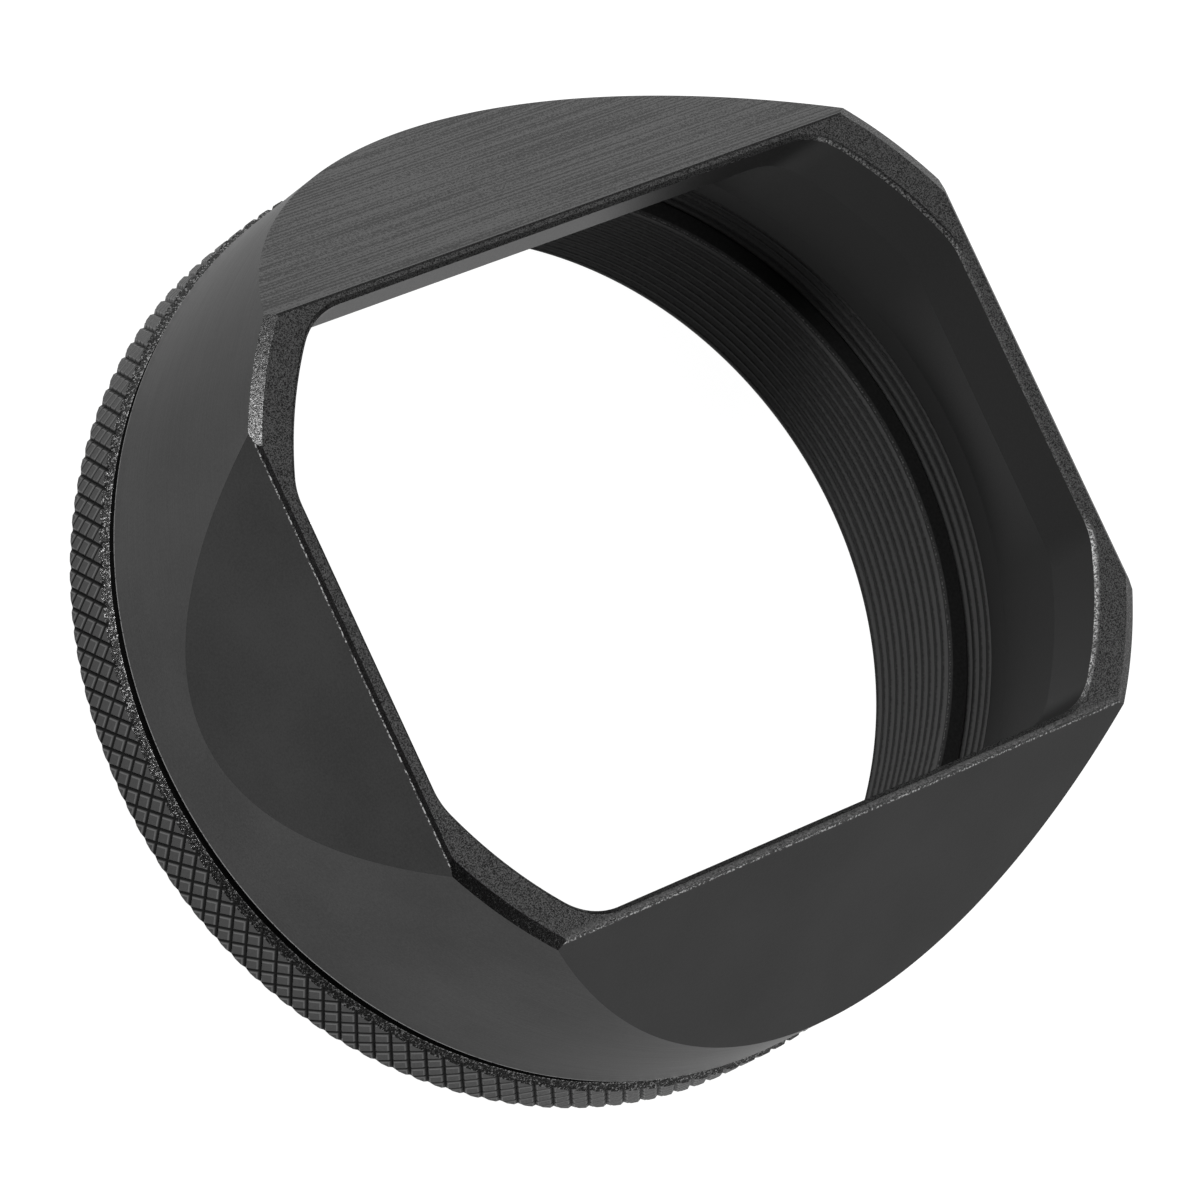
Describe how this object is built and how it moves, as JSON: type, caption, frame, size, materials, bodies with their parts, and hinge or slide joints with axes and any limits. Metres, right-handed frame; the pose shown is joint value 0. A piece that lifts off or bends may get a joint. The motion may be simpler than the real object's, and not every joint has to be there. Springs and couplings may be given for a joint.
{
  "type": "lens hood",
  "caption": "Square metal lens hood: a knurled ring that screws onto a lens, with a turning shade that narrows to a rounded rectangular opening.",
  "frame": {"origin": "on the optical axis, at the knurled adapter ring's rear face, which the hood stands on", "axes": "+Z along the optical axis towards the subject, +Y towards one long edge of the front opening, +X towards one short edge"},
  "size_m": [0.056, 0.056, 0.0231],
  "materials": {
    "ring_anodised": "matt black anodised, diamond knurled",
    "shade_anodised": "matt black anodised, turned and milled, blasted front rim",
    "washer_nylon": "matt black nylon",
    "wire_steel": "bright spring steel"
  },
  "bodies": {
    "lens_mount": {"adapter_ring": "ring_anodised", "friction_washer": "washer_nylon", "retaining_wire": "wire_steel"},
    "turning_shade": {"shade": "shade_anodised"}
  },
  "joints": [
    {"name": "shade_turn", "type": "hinge", "parent": "lens_mount", "child": "turning_shade", "pos_m": [0, 0, 0.0071], "axis": [0, 0, 1], "continuous": true}
  ]
}
